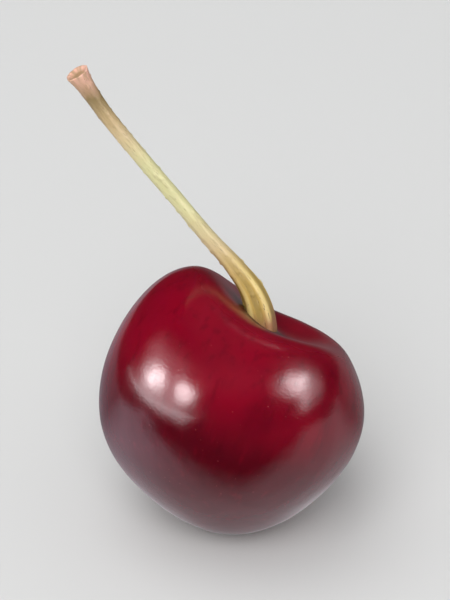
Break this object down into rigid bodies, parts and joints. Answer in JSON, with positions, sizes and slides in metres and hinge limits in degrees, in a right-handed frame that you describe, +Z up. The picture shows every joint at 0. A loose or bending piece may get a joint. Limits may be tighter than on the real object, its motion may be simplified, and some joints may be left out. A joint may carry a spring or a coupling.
{
  "type": "sweet cherry on its stalk",
  "caption": "Plump heart-shaped sweet cherry lying on its blossom end, with a thin curved stalk rising out of the dimple at its top.",
  "frame": {"origin": "middle of the small flat at the blossom end that the fruit rests on", "axes": "+Z up, +Y away from the viewer, +X to the viewer's right; the fruit's core leans back and to the right, and the stalk rises up and to the left"},
  "size_m": [0.0298, 0.0242, 0.0495],
  "materials": {
    "skin": null,
    "stalk": "satin yellow-green stalk, golden at the foot and dry brown at the free end"
  },
  "bodies": {
    "root": {"fruit": "skin", "stalk": "stalk"}
  },
  "joints": []
}
